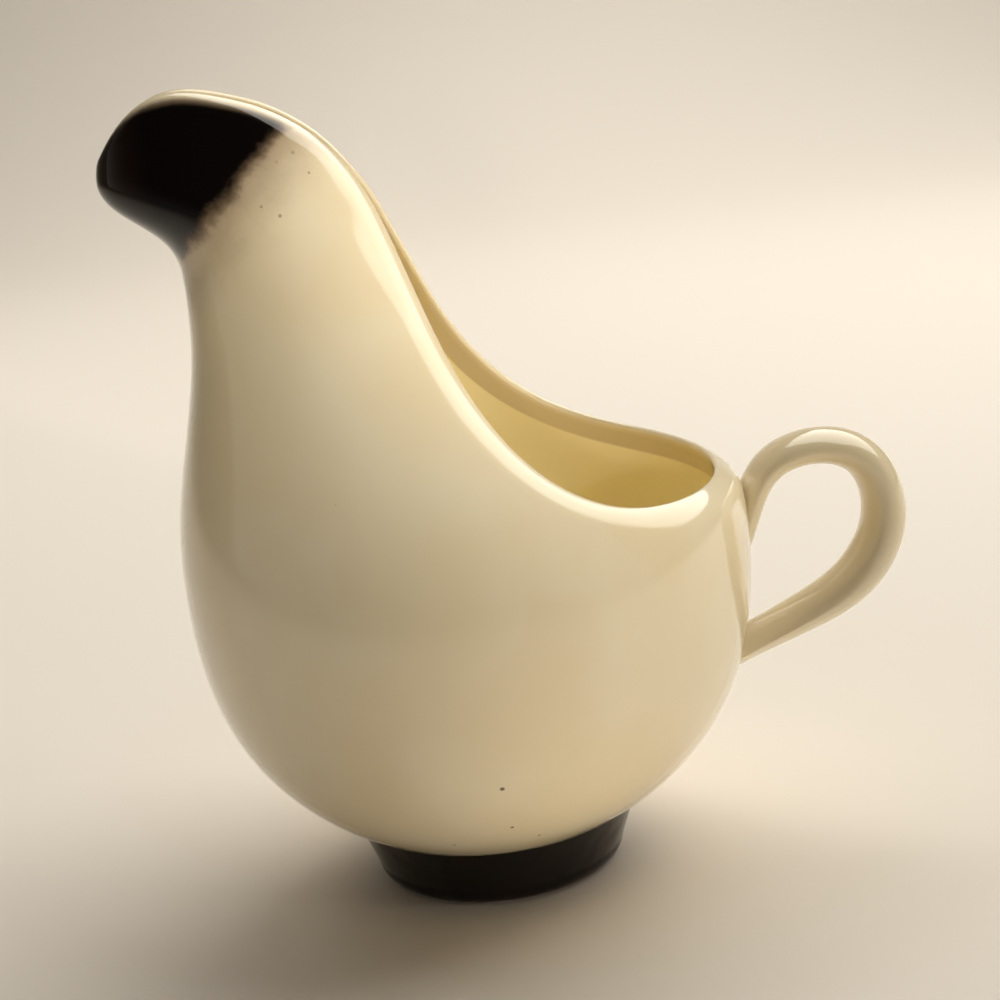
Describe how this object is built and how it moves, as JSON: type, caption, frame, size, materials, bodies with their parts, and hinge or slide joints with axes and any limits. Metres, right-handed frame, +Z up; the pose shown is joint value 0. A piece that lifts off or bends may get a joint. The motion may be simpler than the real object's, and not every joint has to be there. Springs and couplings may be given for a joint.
{
  "type": "creamer",
  "caption": "Glazed clay creamer: a round bowl on a dark foot ring, drawn up into a tall dark-tipped pouring spout, with a strap loop handle.",
  "frame": {"origin": "middle of the bounding box at the level of the table", "axes": "+Z up, spout towards -X, handle towards +X, mirror plane at Y = 0"},
  "size_m": [0.1304, 0.0984, 0.1406],
  "materials": {
    "ivory_glaze": "glossy",
    "slip_glaze": "glossy",
    "dark_glaze": "glossy"
  },
  "bodies": {
    "root": {"body": "ivory_glaze", "foot_ring": "dark_glaze", "foot_slip": "dark_glaze", "handle": "ivory_glaze", "upper_handle_slip": "slip_glaze", "lower_handle_slip": "slip_glaze"}
  },
  "joints": []
}
